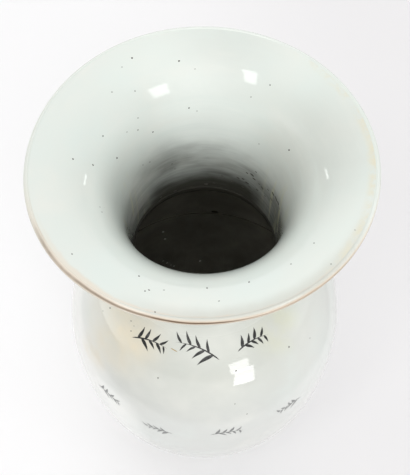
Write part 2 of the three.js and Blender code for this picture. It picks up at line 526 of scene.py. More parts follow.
def copy_placed(model, placing):
    """A copy of a model, with a mesh of its own, put in place."""
    select_only(model)
    bpy.ops.object.duplicate()
    copy = bpy.context.object
    copy.matrix_world = placing
    bpy.ops.object.transform_apply(location=True, rotation=True, scale=True)
    return copy


def apply_modifier(piece, kind, **settings):
    select_only(piece)
    modifier = piece.modifiers.new(kind, kind)
    for name, value in settings.items():
        setattr(modifier, name, value)
    bpy.ops.object.modifier_apply(modifier=modifier.name)


def belongs(piece, slot, *nodes):
    """Fixes a finished piece to the frame: to the root body, and hides the CAD nodes it stands for. The slot
    is not used.
    """
    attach(piece, "root")
    if nodes:
        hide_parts(*nodes)


# Materials


def opaque(tone):
    return (*tone, 1.0)


def scaled(tone, factor):
    return tuple(factor * value for value in tone)


class Tree:
    """A node tree with short ways to add and link nodes"""

    def __init__(self, tree):
        self.tree = tree

    def add(self, kind, inputs=None, **settings):
        made = self.tree.nodes.new(kind)
        for name, value in settings.items():
            setattr(made, name, value)
        for name, value in (inputs or {}).items():
            socket = made.inputs[name]
            if isinstance(value, bpy.types.NodeSocket):
                self.tree.links.new(value, socket)
            else:
                socket.default_value = opaque(value) if socket.type == "RGBA" else value
        return made

    def feed(self, node, **values):
        """Links values to a node's inputs, whose names have _ for a space here."""
        for label, value in values.items():
            self.tree.links.new(value, node.inputs[label.replace("_", " ")])

    def maths(self, operation, *values):
        return self.add("ShaderNodeMath", dict(enumerate(values)), operation=operation).outputs[0]

    def plus(self, first, second):
        return self.maths("ADD", first, second)

    def minus(self, first, second):
        return self.maths("SUBTRACT", first, second)

    def times(self, product, *others):
        for other in others:
            product = self.maths("MULTIPLY", product, other)
        return product

    def vector_maths(self, operation, first, second=(0, 0, 0)):
        inputs = {0: first, 1: second}
        return self.add("ShaderNodeVectorMath", inputs, operation=operation).outputs["Value"]

    def mix(self, factor, first, second):
        return self.add("ShaderNodeMix", {0: factor, 6: first, 7: second}, data_type="RGBA").outputs[2]

    def span(self, value, low, high, low_result=0.0, high_result=1.0):
        """Takes a value from one range to another, smoothly at both ends."""
        inputs = {0: value, 1: low, 2: high, 3: low_result, 4: high_result}
        return self.add("ShaderNodeMapRange", inputs, interpolation_type="SMOOTHSTEP").outputs[0]

    def noise(self, scale, detail=2.0, roughness=0.5, stretch=None):
        place = self.place()
        if stretch:
            place = self.add("ShaderNodeMapping", {"Vector": place, "Scale": stretch}).outputs[0]
        inputs = {"Vector": place, "Scale": scale, "Detail": detail, "Roughness": roughness}
        return self.add("ShaderNodeTexNoise", inputs).outputs["Fac"]

    def bump(self, height, distance, strength):
        inputs = {"Height": height, "Distance": distance, "Strength": strength}
        return self.add("ShaderNodeBump", inputs).outputs[0]

    def flat(self, right, back):
        return self.add("ShaderNodeCombineXYZ", {0: right, 1: back}).outputs[0]

    def place(self):
        return self.add("ShaderNodeTexCoord").outputs["Object"]

    def sides(self):
        """Distances to the right, to the back and up."""
        return self.add("ShaderNodeSeparateXYZ", {0: self.place()}).outputs


SOCKETS = {"value": "NodeSocketFloat", "colour": "NodeSocketColor", "vector": "NodeSocketVector"}


def effect(name, takes, gives):
    """An empty node group with named sockets. Returns it with its inputs and its output node."""
    tree = bpy.data.node_groups.new(name, "ShaderNodeTree")
    for label, (kind, default) in takes.items():
        socket = tree.interface.new_socket(label, in_out="INPUT", socket_type=SOCKETS[kind])
        socket.default_value = opaque(default) if kind == "colour" else default
    for label, kind in gives.items():
        tree.interface.new_socket(label, in_out="OUTPUT", socket_type=SOCKETS[kind])
    inputs = tree.nodes.new("NodeGroupInput").outputs
    return Tree(tree), inputs, tree.nodes.new("NodeGroupOutput")


def pooled_glaze():
    """Glaze colour that drifts between thin, even and thick."""
    takes = {
        "Even": ("colour", (0.8, 0.8, 0.8)),
        "Thick": ("colour", (0.7, 0.7, 0.7)),
        "Thin": ("colour", (0.9, 0.9, 0.9)),
        "Patches": ("value", 12.0),
        "Amount": ("value", 0.6),
    }
    tree, inputs, output = effect("Pooled glaze", takes, {"Color": "colour"})
    broad = tree.noise(inputs["Patches"], detail=3.0)
    fine = tree.noise(tree.times(inputs["Patches"], 5.0))
    both = tree.plus(tree.times(broad, 0.75), tree.times(fine, 0.25))
    thick = tree.times(tree.span(both, 0.48, 0.66), inputs["Amount"])
    thin = tree.times(tree.span(both, 0.50, 0.34), inputs["Amount"])
    tree.feed(output, Color=tree.mix(thin, tree.mix(thick, inputs["Even"], inputs["Thick"]), inputs["Thin"]))
    return tree.tree


def orange_peel():
    """Faint unevenness of a fired glaze, from slow waves to fine peel."""
    takes = {"Wave depth": ("value", 0.0003), "Peel depth": ("value", 0.00002)}
    tree, inputs, output = effect("Orange peel", takes, {"Normal": "vector"})
    wave = tree.times(tree.noise(16.0, detail=1.0), inputs["Wave depth"])
    peel = tree.times(tree.noise(420.0), inputs["Peel depth"])
    tree.feed(output, Normal=tree.bump(tree.plus(wave, peel), 1.0, 1.0))
    return tree.tree


def iron_dots():
    """Sparse small dots at random: a share of the cells holds one each."""
    takes = {"Cell": ("value", 0.012), "Dot": ("value", 0.0004), "Share": ("value", 0.3)}
    tree, inputs, output = effect("Iron dots", takes, {"Mask": "value"})
    scale = tree.maths("DIVIDE", 1.0, inputs["Cell"])
    cells = tree.add("ShaderNodeTexVoronoi", {"Vector": tree.place(), "Scale": scale})
    size = tree.maths("DIVIDE", inputs["Dot"], inputs["Cell"])
    red = tree.add("ShaderNodeSeparateColor", {0: cells.outputs["Color"]}).outputs[0]
    chosen = tree.maths("LESS_THAN", red, inputs["Share"])
    own_size = tree.times(size, tree.plus(0.4, tree.times(red, 2.0)))
    dot = tree.span(cells.outputs["Distance"], own_size, tree.times(own_size, 0.35))
    tree.feed(output, Mask=tree.times(dot, chosen))
    return tree.tree


def stain_cloud():
    """A soft, broken cloud about a centre."""
    takes = {
        "Centre": ("vector", (0, 0, 0)),
        "Reach": ("value", 0.02),
        "Grain": ("value", 60.0),
        "Breakup": ("value", 1.0),
    }
    tree, inputs, output = effect("Stain cloud", takes, {"Mask": "value"})
    away = tree.vector_maths("DISTANCE", tree.place(), inputs["Centre"])
    near = tree.span(away, inputs["Reach"], 0.0)
    broken = tree.span(tree.noise(inputs["Grain"], detail=3.0), 0.25, 0.75)
    gone = tree.times(tree.minus(1.0, broken), inputs["Breakup"])
    tree.feed(output, Mask=tree.times(near, tree.minus(1.0, gone)))
    return tree.tree


def height_band():
    """One between two heights, fading in over Soft at each end."""
    takes = {"Low": ("value", 0.0), "High": ("value", 1.0), "Soft": ("value", 0.01)}
    tree, inputs, output = effect("Height band", takes, {"Mask": "value"})
    height = tree.sides()[2]
    above = tree.span(height, inputs["Low"], tree.plus(inputs["Low"], inputs["Soft"]))
    below = tree.span(height, inputs["High"], tree.minus(inputs["High"], inputs["Soft"]))
    tree.feed(output, Mask=tree.times(above, below))
    return tree.tree


def lip_reach():
    """Back: the distance from the lip's centre back down the flare. Turn: the angle round the lip, which is
    zero at its outermost point and a quarter turn on its top."""
    takes = {"Lip radius": ("value", 0.1), "Lip height": ("value", 0.4), "Rise": ("value", 0.28)}
    tree, inputs, output = effect("Lip reach", takes, {"Back": "value", "Turn": "value"})
    right, back, height = tree.sides()
    radius = tree.vector_maths("LENGTH", tree.flat(right, back))
    out = tree.minus(radius, inputs["Lip radius"])
    up = tree.minus(height, inputs["Lip height"])
    cosine = tree.maths("COSINE", inputs["Rise"])
    sine = tree.maths("SINE", inputs["Rise"])
    along = tree.plus(tree.times(out, cosine), tree.times(up, sine))
    tree.feed(output, Back=tree.times(along, -1.0), Turn=tree.maths("ARCTAN2", up, out))
    return tree.tree


class Stain(NamedTuple):
    """A soft cloud of one of the colours, at an azimuth from the front in degrees, a radius and a height"""

    colour: str
    azimuth: float
    radius: float
    height: float
    reach: float
    grain: float
    breakup: float
    strength: float


SHOULDER_STAINS = (
    Stain("kiln_blush", -48, 0.088, 0.325, reach=0.050, grain=34, breakup=0.7, strength=0.95),
    Stain("kiln_blush", -56, 0.108, 0.285, reach=0.024, grain=50, breakup=1.0, strength=0.55),
    Stain("lichen", 44, 0.080, 0.330, reach=0.030, grain=45, breakup=1.0, strength=0.55),
)
# Painted shade: grey clouds on the mouth's right, back and left walls.
MOUTH_PAINTED_SHADES = (
    Stain("painted_shade", 102, 0.079, 0.447, reach=0.072, grain=30, breakup=0.2, strength=0.85),
    Stain("painted_shade", 168, 0.093, 0.459, reach=0.060, grain=30, breakup=0.2, strength=0.50),
    Stain("painted_shade", -95, 0.060, 0.412, reach=0.046, grain=30, breakup=0.2, strength=0.60),
)
# Painted shade: a dark smudge on the neck's left back.
NECK_SHADE_SMUDGES = (Stain("shade_and_grime", -136, 0.057, 0.400, reach=0.034, grain=45, breakup=0.5, strength=0.34),)


class Finishes:
    """Every material of the vase, made once from the colours and the section"""

    TINT_REACH = 0.003
    LINE_LOW = math.radians(14)
    LINE_HIGH = math.radians(32)
    LINE_SOFT = math.radians(7)
    THIN_LIFT = 0.08
    THIN_SHARE = 0.9

    # How far left of the axis the floor's pale area has its centre, and its radius.
    PALE_OFFSET = 0.037
    PALE_REACH = 0.345

    def __init__(self, colours, section):
        self.colours = colours
        self.section = section
        self.pooled = pooled_glaze()
        self.peel = orange_peel()
        self.dots = iron_dots()
        self.cloud = stain_cloud()
        self.band = height_band()
        self.lip = lip_reach()

    def start(self, name, **plain):
        """A new material. The plain values stand on the shader's own sockets."""
        material = bpy.data.materials.new(name)
        material.use_nodes = True
        shader = material.node_tree.nodes["Principled BSDF"]
        for label, value in plain.items():
            shader.inputs[label.replace("_", " ")].default_value = value
        return material, Tree(material.node_tree), shader

    def use(self, tree, group, **inputs):
        """The outputs of a node group, whose inputs' names have _ for a space here."""
        values = {label.replace("_", " "): value for label, value in inputs.items()}
        return tree.add("ShaderNodeGroup", values, node_tree=group).outputs

    def pooled_tone(self, tree, even, patches, amount):
        thick, thin = self.colours.glaze_cool, self.colours.glaze_warm
        return self.use(
            tree, self.pooled, Even=even, Thick=thick, Thin=thin, Patches=patches, Amount=amount
        )[0]

    def peeled(self, tree, shader, wave, peel):
        tree.feed(shader, Normal=self.use(tree, self.peel, Wave_depth=wave, Peel_depth=peel)[0])

    def stained(self, tree, tone, stains):
        for stain in stains:
            turn = math.radians(stain.azimuth)
            centre = (stain.radius * math.sin(turn), -stain.radius * math.cos(turn), stain.height)
            cloud = self.use(
                tree, self.cloud, Centre=centre, Reach=stain.reach, Grain=stain.grain, Breakup=stain.breakup
            )[0]
            tone = tree.mix(tree.times(cloud, stain.strength), tone, getattr(self.colours, stain.colour))
        return tone

    def dotted(self, tree, tone, dot_share):
        """A glaze's tone with small iron dots in it."""
        dots = self.use(tree, self.dots, Cell=0.011, Dot=0.00032, Share=dot_share)[0]
        return tree.mix(dots, tone, self.colours.speck)

    def glossy(self, tree, smoothest, roughest):
        """A glaze's uneven gloss."""
        return tree.span(tree.noise(35.0, detail=3.0), 0.3, 0.7, smoothest, roughest)

    def outside_glaze(self):
        """Painted shade greys the shoulder, painted light whitens the sides, dull from just below the neck's
        root up.
        """
        c = self.colours
        material, tree, shader = self.start("Outside glaze", IOR=1.6)
        right, _, height = tree.sides()
        # Painted shade: greyer up the shoulder, under the mouth.
        even = tree.mix(tree.span(height, 0.250, 0.330), c.glaze_belly, c.shaded_shoulder_glaze)
        # Painted light: whiter far out on the left and right, and low on the left.
        lit_far_left = tree.span(right, -0.062, -0.102)
        lit_far_right = tree.span(right, 0.050, 0.105, 0.0, 0.5)
        lit_below_left = tree.times(self.towards(tree, -50, 0.103, 0.116), tree.span(height, 0.28, 0.26))
        aside = tree.maths("MAXIMUM", tree.maths("MAXIMUM", lit_far_left, lit_far_right), lit_below_left)
        tone = self.pooled_tone(tree, tree.mix(aside, even, c.lit_side_glaze), patches=9.0, amount=0.35)
        tone = self.dotted(tree, self.stained(tree, tone, SHOULDER_STAINS), dot_share=0.10)
        root = self.section.neck_root.y
        dull = tree.span(height, root - 0.012, root - 0.004, 0.0, 0.45)
        roughness = tree.maths("MAXIMUM", self.glossy(tree, smoothest=0.03, roughest=0.07), dull)
        tree.feed(shader, Base_Color=self.lip_tint(tree, tone), Roughness=roughness)
        self.peeled(tree, shader, wave=0.0004, peel=0.000012)
        return material

    def lip_place(self, tree):
        """Distance back from the lip, and the angle round it."""
        s = self.section
        return self.use(tree, self.lip, Lip_radius=s.lip.x, Lip_height=s.lip.y, Rise=s.sizes.lip_angle)

    def lip_tint(self, tree, tone):
        """The peach that the iron wash bleeds into the glaze in front, and the beige wear on the right."""
        right, rear, _ = tree.sides()
        wander = tree.times(tree.noise(90.0, detail=3.0), 0.004)
        away = tree.plus(self.lip_place(tree)["Back"], wander)
        # Greyer just inside the lip, in front and to the right.
        grey_side = self.towards(tree, 22, 0.060, 0.105, 0.0, 0.6)
        tone = tree.mix(tree.times(tree.span(away, 0.012, 0.002), grey_side), tone, self.colours.lip_grey)
        in_front = tree.span(rear, -0.03, -0.09, 0.0, 0.55)
        bleed = tree.times(tree.span(away, self.TINT_REACH, 0.0), in_front)
        tone = tree.mix(bleed, tone, self.peach(tree))
        patches = tree.span(tree.noise(70.0, detail=4.0, roughness=0.6), 0.42, 0.62)
        worn_side = tree.span(right, 0.055, 0.095, 0.0, 0.95)
        wear = tree.times(patches, worn_side, tree.span(away, 0.0085, 0.002))
        return tree.mix(wear, tone, self.colours.wear)

    def towards(self, tree, azimuth, low, high, low_result=0.0, high_result=1.0):
        """A value that rises with the distance from the axis towards an azimuth."""
        reach = tree.vector_maths("DOT_PRODUCT", tree.place(), direction_to(azimuth, 0))
        return tree.span(reach, low, high, low_result, high_result)

    def peach(self, tree):
        """The thin wash's colour, deepest in front a little to the right, and blotchy."""
        blotches = tree.span(tree.noise(75.0, detail=3.0), 0.35, 0.65, 0.55, 1.0)
        deep = tree.times(self.towards(tree, 18, 0.075, 0.105), blotches)
        return tree.mix(deep, self.colours.wash_thin, self.colours.wash_deep)

    def neck_shade_and_grime(self, tree):
        """How much painted shade, with some grime, darkens the glaze: none in the mouth, nearly all at the
        neck's root.
        """
        s = self.section
        right, _, height = tree.sides()
        uneven = tree.span(tree.noise(17.0, detail=3.0, stretch=(1, 1, 1.8)), 0.3, 0.7, -0.010, 0.012)
        level = tree.plus(height, tree.plus(uneven, tree.times(right, -0.09)))
        soil = tree.span(level, s.throat.y + 0.042, s.neck_root.y + 0.010, 0.0, 0.955)
        lighter_left = tree.span(right, -0.034, -0.052, 1.0, 0.80)
        lighter_right = tree.span(right, 0.034, 0.050, 1.0, 0.78)
        soil = tree.times(soil, lighter_left, lighter_right)
        half_shaded = tree.times(soil, tree.minus(1.0, soil))
        shade_streaks = tree.noise(40.0, detail=4.0, roughness=0.65, stretch=(1, 1, 7))
        return tree.plus(soil, tree.times(half_shaded, tree.span(shade_streaks, 0.3, 0.7, -0.28, 0.28)))

    def neck_runs(self, tree):
        """Upright yellowish runs at the neck's sides."""
        s = self.section
        streaks = tree.noise(150.0, detail=3.0, roughness=0.6, stretch=(1, 1, 0.08))
        neck = self.use(tree, self.band, Low=s.neck_root.y - 0.01, High=s.throat.y + 0.045, Soft=0.03)[0]
        aside = tree.span(tree.maths("ABSOLUTE", tree.sides()[0]), 0.040, 0.052)
        return tree.times(tree.span(streaks, 0.52, 0.66), neck, aside)

    def mouth_glaze(self):
        """Pale and brushed, with painted light at its back, painted shade on its walls and, with grime, down
        the neck.
        """
        c = self.colours
        s = self.section
        material, tree, shader = self.start("Mouth glaze", IOR=1.5)
        tone = self.pooled_tone(tree, c.glaze, patches=11.0, amount=0.5)
        # Painted light: a whiter patch at the mouth's back, in place of a soft reflection.
        lit_pool_centre = (0.004, s.throat.x * 0.95, s.throat.y + 0.046)
        pool = tree.span(tree.vector_maths("DISTANCE", tree.place(), lit_pool_centre), 0.055, 0.012)
        tone = self.stained(tree, tree.mix(pool, tone, c.painted_light_pool), MOUTH_PAINTED_SHADES)
        brushed = tree.noise(9.0, detail=4.0, roughness=0.65, stretch=(1, 1, 16))
        tone = tree.mix(tree.span(brushed, 0.5, 0.72, 0.0, 0.16), tone, c.glaze_warm)
        tone = tree.mix(tree.span(brushed, 0.5, 0.28, 0.0, 0.22), tone, c.glaze_cool)
        # Painted shade with grime darkens down the neck, and the smudge adds painted shade on its left back.
        tone = tree.mix(self.neck_shade_and_grime(tree), tone, c.shade_and_grime)
        tone = self.stained(tree, tone, NECK_SHADE_SMUDGES)
        tone = tree.mix(tree.times(self.neck_runs(tree), 0.5), tone, c.lichen)
        tone = self.lip_tint(tree, self.dotted(tree, tone, dot_share=0.22))
        tree.feed(shader, Base_Color=tone, Roughness=self.glossy(tree, smoothest=0.04, roughest=0.08))
        self.peeled(tree, shader, wave=0.0004, peel=0.000012)
        return material

    def inside_clay(self):
        """Mottled clay, with painted shade darkening it just below the neck's root."""
        c = self.colours
        material, tree, shader = self.start("Inside clay", IOR=1.45)
        mottle = tree.span(tree.noise(40.0, detail=6.0, roughness=0.65), 0.3, 0.7)
        root = self.section.neck_root.y
        # Painted shade: the clay darkens towards the neck's root.
        soil = tree.span(tree.sides()[2], root - 0.035, root - 0.005, 0.0, 0.96)
        tone = tree.mix(soil, tree.mix(mottle, scaled(c.inside, 0.7), c.inside), c.shade_and_grime)
        normal = tree.bump(tree.noise(700.0, detail=4.0), 0.0003, 0.6)
        tree.feed(shader, Base_Color=tone, Roughness=tree.span(mottle, 0, 1, 0.6, 0.9), Normal=normal)
        return material

    def foot_clay(self):
        """Bare clay, flashed by the fire in patches and gritty."""
        c = self.colours
        material, tree, shader = self.start("Foot clay", IOR=1.45)
        burn = tree.span(tree.noise(55.0, detail=5.0, roughness=0.6), 0.42, 0.66)
        grit = self.use(tree, self.dots, Cell=0.0022, Dot=0.0003, Share=0.35)[0]
        tone = tree.mix(grit, tree.mix(burn, c.clay, c.clay_burn), c.speck)
        normal = tree.bump(tree.noise(1100.0, detail=5.0), 0.00025, 0.8)
        tree.feed(shader, Base_Color=tone, Roughness=tree.span(burn, 0, 1, 0.9, 0.65), Normal=normal)
        return material

    def shaded_bead_slip(self):
        """Slip that squeezed out of a joint, with painted shade: far darker than the clay, darkest at the
        neck's root.
        """
        shade_and_grime = self.colours.shade_and_grime
        material, tree, shader = self.start("Bead slip", IOR=1.45, Roughness=0.8)
        soil = tree.span(tree.noise(60.0, detail=4.0), 0.35, 0.65)
        lower_shade = tree.mix(soil, scaled(shade_and_grime, 4.2), scaled(shade_and_grime, 2.8))
        neck_shade = tree.mix(soil, scaled(shade_and_grime, 0.7), scaled(shade_and_grime, 0.4))
        root = self.section.neck_root.y
        tone = tree.mix(tree.span(tree.sides()[2], root - 0.03, root - 0.01), lower_shade, neck_shade)
        tree.feed(shader, Base_Color=tone)
        self.peeled(tree, shader, wave=0.0006, peel=0.0001)
        return material

    def iron_wash(self):
        """A thin brown line on the lip's outer crest, with peach beside it. Behind, it is worn thin."""
        c = self.colours
        material, tree, shader = self.start("Iron wash", IOR=1.5)
        right, rear, _ = tree.sides()
        wander = tree.span(tree.noise(35.0, detail=3.0), 0.3, 0.7, -0.05, 0.05)
        turn = tree.plus(self.lip_place(tree)["Turn"], wander)
        above = tree.span(turn, self.LINE_LOW - self.LINE_SOFT, self.LINE_LOW + self.LINE_SOFT)
        below = tree.span(turn, self.LINE_HIGH + self.LINE_SOFT, self.LINE_HIGH - self.LINE_SOFT)
        crest = tree.times(above, below)
        worn = tree.span(tree.noise(24.0, detail=4.0, roughness=0.6), 0.3, 0.55, 0.45, 1.0)
        fullest = self.towards(tree, -2, 0.1050, 0.1100, 0.72, 1.0)
        in_front = tree.span(rear, -0.035, -0.072)
        rubbed = tree.span(right, 0.0, 0.050, 1.0, 0.6)
        line = tree.times(crest, worn, tree.times(fullest, in_front, rubbed))
        inner_flank = tree.times(tree.span(turn, 1.15, 0.5), tree.span(rear, 0.0, -0.085, 0.06, 0.75))
        flank = tree.times(inner_flank, tree.span(turn, -0.15, 0.35, 0.4, 1.0))
        # The wash's base is greyer in front.
        base = tree.mix(self.towards(tree, 22, 0.070, 0.106, 0.0, 0.8), c.glaze, c.lip_grey)
        tone = tree.mix(line, tree.mix(flank, base, self.peach(tree)), c.wash)
        tree.feed(shader, Base_Color=tone, Roughness=tree.span(crest, 0, 1, 0.18, 0.45))
        self.peeled(tree, shader, wave=0.0003, peel=0.00004)
        return material

    def small_mark(self, name, tone, gloss):
        """Iron specks, grit and ink: a tone that varies from dense to thin, with its own gloss."""
        material, tree, shader = self.start(name, IOR=1.5, Roughness=gloss)
        thin = tuple(self.THIN_LIFT + self.THIN_SHARE * value for value in tone)
        wash = tree.span(tree.noise(260.0, detail=3.0, roughness=0.6), 0.45, 0.8)
        tree.feed(shader, Base_Color=tree.mix(wash, tone, thin))
        self.peeled(tree, shader, wave=0.0002, peel=0.00003)
        return material

    def floor(self):
        """Pale paper round the vase, with painted shade darkening it to the right, and greyer farther off in
        front and aside.
        """
        c = self.colours
        material, tree, shader = self.start("Pale floor", Roughness=0.85, IOR=1.4)
        right, back, _ = tree.sides()
        grain = tree.times(tree.noise(3.0, detail=4.0), 0.1)
        # Painted shade: the paper darkens to the right and at the front right.
        paper = tree.mix(tree.plus(tree.span(right, -0.25, 0.3, 0.0, 0.9), grain), c.floor, c.floor_shade)
        front_right_shade = tree.times(tree.span(back, 0.12, -0.12), tree.span(right, -0.2, 0.2, 0.3, 0.8))
        paper = tree.mix(front_right_shade, paper, scaled(c.floor_shade, 0.9))
        ahead = tree.times(tree.maths("MINIMUM", back, 0.0), 1.1)
        reach = tree.vector_maths("LENGTH", tree.flat(tree.plus(right, self.PALE_OFFSET), ahead))
        edge = tree.plus(tree.maths("MAXIMUM", back, 0.0), self.PALE_REACH)
        past_edge = tree.minus(reach, edge)
        far_off = tree.span(past_edge, 0.1, 1.2)
        lighter = tree.maths("MAXIMUM", far_off, tree.span(right, -0.25, -0.45, 0.0, 0.5))
        far = tree.mix(lighter, c.floor_far, scaled(c.floor_shade, 0.8))
        tree.feed(shader, Base_Color=tree.mix(tree.span(past_edge, -0.02, 0.04), paper, far))
        return material


def section():
    return Section(bpy.context.scene.vase_sizes)


def finishes():
    """The materials' maker, made once and kept for the session."""
    if finishes.kept is None:
        finishes.kept = Finishes(bpy.context.scene.vase_colours, section())
    return finishes.kept


finishes.kept = None


def finish_named(name, make):
    """A material by name, made at its first use."""
    return bpy.data.materials.get(name) or make()


# The stage

PICTURE = Vector((410, 475))
AXIS_PIXEL = 204.6
SENSOR = 36.0
FLOOR_SIZE = 12


class SoftLight(NamedTuple):
    """A broad lobe of the world's light. It points at an azimuth from the front and an elevation, in degrees,
    and the higher its gathering is, the narrower it is"""

    azimuth: float
    elevation: float
    gathering: float
    strength: float
    tint: tuple = (1.0, 1.0, 1.0)


SOFT_LIGHTS = (
    SoftLight(0, 48, 5, 1.78),
    SoftLight(90, 12, 5, 0.45, (0.98, 1.0, 1.02)),
    SoftLight(180, 12, 5, 1.83),
    SoftLight(-90, 12, 5, 0.15, (1.03, 1.0, 0.95)),
    SoftLight(0, 90, 5, 1.15),
    SoftLight(80, 0, 9, 0.9),
    SoftLight(-80, 0, 9, 1.9, (1.0, 1.0, 0.98)),
)


class Softbox(NamedTuple):
    """A softbox: where on the vase it is mirrored, its azimuth from the front and its elevation from there,
    how wide and tall it looks from there and how far it leans, all in degrees, its distance in metres, and
    its share of the softboxes' radiance"""

    spot: tuple
    azimuth: float
    elevation: float
    wide: float
    tall: float
    lean: float
    distance: float
    power: float = 1.0


# The left window is near, so that the lip hides its mirror image on the shoulder.
SOFTBOXES = {
    "Window left": Softbox((-0.031, 0.068, 0.452), 38, 34, 11, 18, -12, 0.45, 0.9),
    "Window right": Softbox((0.031, 0.0745, 0.458), -43, 54, 7, 18, 10, 2.0),
    "Strip left": Softbox((-0.0758, -0.003, 0.4537), 126, 10, 6, 3, 0, 2.0),
    "Strip right": Softbox((0.078, -0.003, 0.4557), -126, 16, 6, 3, 0, 2.0),
    "Tall window, upper part": Softbox((0.0275, -0.0867, 0.316), 25, 10, 15, 15, 0, 0.9),
    "Tall window, lower part": Softbox((0.0275, -0.0867, 0.316), 27, -4, 15, 20, -7, 0.9),
}


def direction_to(azimuth, elevation):
    """The direction at an azimuth from the front and an elevation, both in degrees."""
    turn, rise = math.radians(azimuth), math.radians(elevation)
    return Vector((math.sin(turn) * math.cos(rise), -math.cos(turn) * math.cos(rise), math.sin(rise)))


def soft_world(strength):
    """A world lit by the broad soft lights."""
    world = bpy.data.worlds.new("Studio")
    world.use_nodes = True
    tree = Tree(world.node_tree)
    direction = tree.add("ShaderNodeTexCoord").outputs["Generated"]
    total = None
    for light in SOFT_LIGHTS:
        near = tree.vector_maths("DOT_PRODUCT", direction, direction_to(light.azimuth, light.elevation))
        lobe = tree.maths("POWER", tree.maths("MAXIMUM", near, 0.0), light.gathering)
        full = Vector(light.tint) * light.strength * strength
        part = tree.add("ShaderNodeVectorMath", {0: full, "Scale": lobe}, operation="SCALE").outputs[0]
        total = part if total is None else tree.add("ShaderNodeVectorMath", {0: total, 1: part}).outputs[0]
    tree.feed(world.node_tree.nodes["Background"], Color=total)
    return world


def add_softbox(name, box, radiance):
    towards = direction_to(box.azimuth, box.elevation)
    bpy.ops.object.light_add(type="AREA", location=Vector(box.spot) + towards * box.distance)
    lamp = bpy.context.object
    lamp.name = name
    lamp.rotation_mode = "QUATERNION"
    lamp.rotation_quaternion = towards.to_track_quat("Z", "Y") @ Quaternion((0, 0, 1), math.radians(box.lean))
    lamp.data.shape = "RECTANGLE"
    lamp.data.size = 2 * box.distance * math.tan(math.radians(box.wide / 2))
    lamp.data.size_y = 2 * box.distance * math.tan(math.radians(box.tall / 2))
    lamp.data.energy = radiance * math.pi * lamp.data.size * lamp.data.size_y


class VASE_OT_stage(bpy.types.Operator):
    """Lay the floor, light it softly and set the camera"""

    bl_idname = "vase.stage"
    bl_label = "Stage"

    def execute(self, context):
        studio = context.scene.vase_studio
        deselect_all()
        bpy.ops.mesh.primitive_plane_add(size=FLOOR_SIZE)
        floor = context.object
        floor.name = "floor"
        floor.data.materials.append(finishes().floor())

        for name, box in SOFTBOXES.items():
            add_softbox(name, box, studio.softbox * box.power)
        context.scene.world = soft_world(studio.soft_light)

        bpy.ops.object.camera_add(
            location=(0, -studio.camera_back, studio.camera_height), rotation=(studio.camera_pitch, 0, 0)
        )
        camera = context.object
        camera.data.sensor_width = SENSOR
        camera.data.lens = SENSOR * studio.focal_pixels / PICTURE.y
        camera.data.shift_x = (PICTURE.x / 2 - AXIS_PIXEL) / PICTURE.y
        camera.data.dof.use_dof = False
        context.scene.camera = camera
        context.scene.view_settings.view_transform = "Standard"
        return {"FINISHED"}


def seen_at(pixel, pieces):
    """Where the camera's line through a pixel of the picture first meets the pieces, and the normal there."""
    camera = bpy.context.scene.camera
    studio = bpy.context.scene.vase_studio
    local = Vector((pixel[0] - AXIS_PIXEL, PICTURE.y / 2 - pixel[1], -studio.focal_pixels))
    towards = camera.matrix_world.to_3x3() @ local.normalized()
    start = camera.matrix_world.translation
    hits = [piece.ray_cast(start, towards) for piece in pieces]
    found = [(place, normal) for hit, place, normal, _ in hits if hit]
    if not found:
        raise RuntimeError(f"no piece is seen at pixel {tuple(pixel)}")
    return min(found, key=lambda one: (one[0] - start).length)


# The pieces

LOOKS_UP = 0.9


class VASE_OT_foot(bpy.types.Operator):
    """Turn the foot section, with its bare ring and sunk base"""

    bl_idname = "vase.foot"
    bl_label = "Foot Section"

    def execute(self, context):
        sizes = context.scene.vase_sizes
        make = finishes()
        piece = turned("glazed_foot", section().foot(), sizes.sides)
        piece.data.materials.append(finish_named("Outside glaze", make.outside_glaze))
        floor_height = sizes.recess_depth + sizes.base_thickness / 2
        ring_start = section().foot_radius - sizes.foot_ring_width - WELD
        finish_faces(
            piece,
            finish_named("Foot clay", make.foot_clay),
            lambda c, n: c.z < sizes.foot_edge and Vector(c.xy).length > ring_start,
        )
        finish_faces(
            piece,
            finish_named("Inside clay", make.inside_clay),
            lambda c, n: c.z > floor_height and (faces_axis(c, n) or n.z > LOOKS_UP),
        )
        belongs(piece, "porcelain", "foot_section")
        return {"FINISHED"}


class VASE_OT_body(bpy.types.Operator):
    """Turn the lower and the upper body"""

    bl_idname = "vase.body"
    bl_label = "Body Sections"

    def execute(self, context):
        sides = context.scene.vase_sizes.sides
        make = finishes()
        walls = {
            "lower_wall": (section().lower_body(), "lower_body"),
            "shoulder_wall": (section().upper_body(), "upper_body"),
        }
        for name, (outline, node) in walls.items():
            piece = turned(name, outline, sides)
            piece.data.materials.append(finish_named("Outside glaze", make.outside_glaze))
            finish_faces(piece, finish_named("Inside clay", make.inside_clay), faces_axis)
            belongs(piece, "porcelain", node)
        return {"FINISHED"}


class VASE_OT_mouth(bpy.types.Operator):
    """Turn the neck and the trumpet mouth"""

    bl_idname = "vase.mouth"
    bl_label = "Neck and Mouth"

    def execute(self, context):
        make = finishes()
        piece = turned("trumpet_mouth", section().mouth(), context.scene.vase_sizes.sides)
        sag_rim(piece)
        piece.data.materials.append(finish_named("Outside glaze", make.outside_glaze))
        finish_faces(piece, finish_named("Mouth glaze", make.mouth_glaze), faces_axis)
        belongs(piece, "porcelain", "neck_and_mouth")
        return {"FINISHED"}


